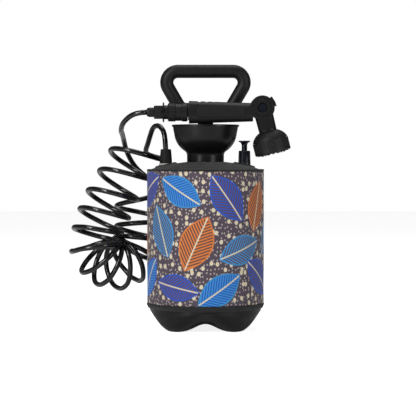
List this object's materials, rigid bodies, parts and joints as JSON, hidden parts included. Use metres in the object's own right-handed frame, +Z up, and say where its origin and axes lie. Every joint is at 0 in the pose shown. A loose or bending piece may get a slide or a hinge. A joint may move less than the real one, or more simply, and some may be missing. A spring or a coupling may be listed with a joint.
{
  "type": "portable shower",
  "caption": "Pump-up camping shower: footed tank in a neoprene sleeve with filler funnel, looped plunger handle, relief valve, curly hose and a swivelling spray handset.",
  "frame": {"origin": "centre of the tank's base on the floor, between its four feet", "axes": "+Z up along the tank and the pump, +X towards the spray head when the handset lies along the front of the funnel's rim, the handset on the -Y side"},
  "size_m": [0.3441, 0.2295, 0.4067],
  "materials": {
    "tank_black": "gloss",
    "printed_neoprene": "matte",
    "black_neoprene": "matte",
    "handle_black": "satin",
    "handset_black": "satin",
    "soft_black": "matte",
    "dial_black": "satin",
    "valve_black": "gloss",
    "hose_black": "gloss",
    "seal_black": "matte",
    "pale_plastic": "satin",
    "clear_tube": "satin",
    "spring_steel": "satin",
    "nozzle_grey": "matte",
    "brass_fitting": "satin"
  },
  "bodies": {
    "tank_body": {"tank": "tank_black", "sleeve_panel": "printed_neoprene", "sleeve_bottom_binding": "black_neoprene", "sleeve_top_binding": "black_neoprene", "sleeve_shoulder": "black_neoprene", "sleeve_back_seam": "black_neoprene", "outlet_gasket": "seal_black", "outlet_fitting": "pale_plastic", "outlet_locknut": "pale_plastic", "outlet_boot": "soft_black", "dip_tube": "clear_tube", "dip_strainer": "pale_plastic", "relief_valve_gasket": "seal_black", "relief_valve_body": "valve_black", "relief_spring": "spring_steel", "hose_coil": "hose_black", "hose_outlet_tail": "hose_black", "hose_coupler_tail": "hose_black"},
    "relief_pull": {"relief_knob": "valve_black", "relief_seal": "seal_black"},
    "pump_unit": {"pump_cap": "handle_black", "pump_cap_seal": "seal_black", "pump_barrel": "pale_plastic", "pump_check_valve": "seal_black", "pump_guide_bush": "pale_plastic"},
    "plunger": {"pump_handle": "handle_black", "pump_rod": "pale_plastic", "pump_piston": "pale_plastic", "piston_ring": "seal_black", "handle_pin": "spring_steel"},
    "coupler": {"coupler_body": "handset_black", "coupler_claw_1": "spring_steel", "coupler_claw_2": "spring_steel", "coupler_claw_3": "spring_steel", "coupler_flange": "handset_black", "coupler_barb": "brass_fitting", "hose_nut": "handset_black", "hose_ferrule": "handset_black", "hose_end": "hose_black"},
    "coupler_sleeve": {"coupler_collar": "handset_black"},
    "handset": {"grip_shell_front": "handset_black", "grip_shell_back": "handset_black", "grip_inlay_front": "soft_black", "grip_inlay_back": "soft_black", "hub_ring_front": "handset_black", "hub_ring_back": "handset_black", "waterway": "pale_plastic", "handset_spigot": "handset_black", "spigot_seal": "seal_black", "rose_dome": "dial_black"},
    "lever": {"thumb_lever": "handset_black", "valve_spool": "valve_black"},
    "dial": {"spray_dial": "dial_black", "nozzle_plate": "dial_black", "nozzle_mat": "nozzle_grey"}
  },
  "joints": [
    {"name": "relief_pull_slide", "type": "slide", "parent": "tank_body", "child": "relief_pull", "axis": [0, 0, 1], "range_m": [0, 0.006], "stiffness_N_per_m": 400, "springref_m": -0.004, "deforming": ["relief_spring"]},
    {"name": "pump_lift_out", "type": "slide", "parent": "tank_body", "child": "pump_unit", "axis": [0, 0, 1], "range_m": [0, 0.26]},
    {"name": "plunger_stroke", "type": "slide", "parent": "pump_unit", "child": "plunger", "axis": [0, 0, 1], "range_m": [0, 0.15]},
    {"name": "handset_lift", "type": "slide", "parent": "tank_body", "child": "coupler", "axis": [0, 0, 1], "range_m": [0, 0.12]},
    {"name": "collar_pull", "type": "slide", "parent": "coupler", "child": "coupler_sleeve", "axis": [-1, 0, 0], "range_m": [0, 0.0045], "stiffness_N_per_m": 800, "springref_m": -0.003},
    {"name": "handset_swivel", "type": "hinge", "parent": "coupler", "child": "handset", "pos_m": [-0.04, -0.042, 0.3325], "axis": [1, 0, 0], "continuous": true},
    {"name": "lever_turn", "type": "hinge", "parent": "handset", "child": "lever", "pos_m": [0.0859, -0.042, 0.339], "axis": [0, -1, 0], "range_deg": [0, 40]},
    {"name": "dial_turn", "type": "hinge", "parent": "handset", "child": "dial", "pos_m": [0.0859, -0.042, 0.339], "axis": [0.2419, 0, -0.9703], "continuous": true}
  ]
}
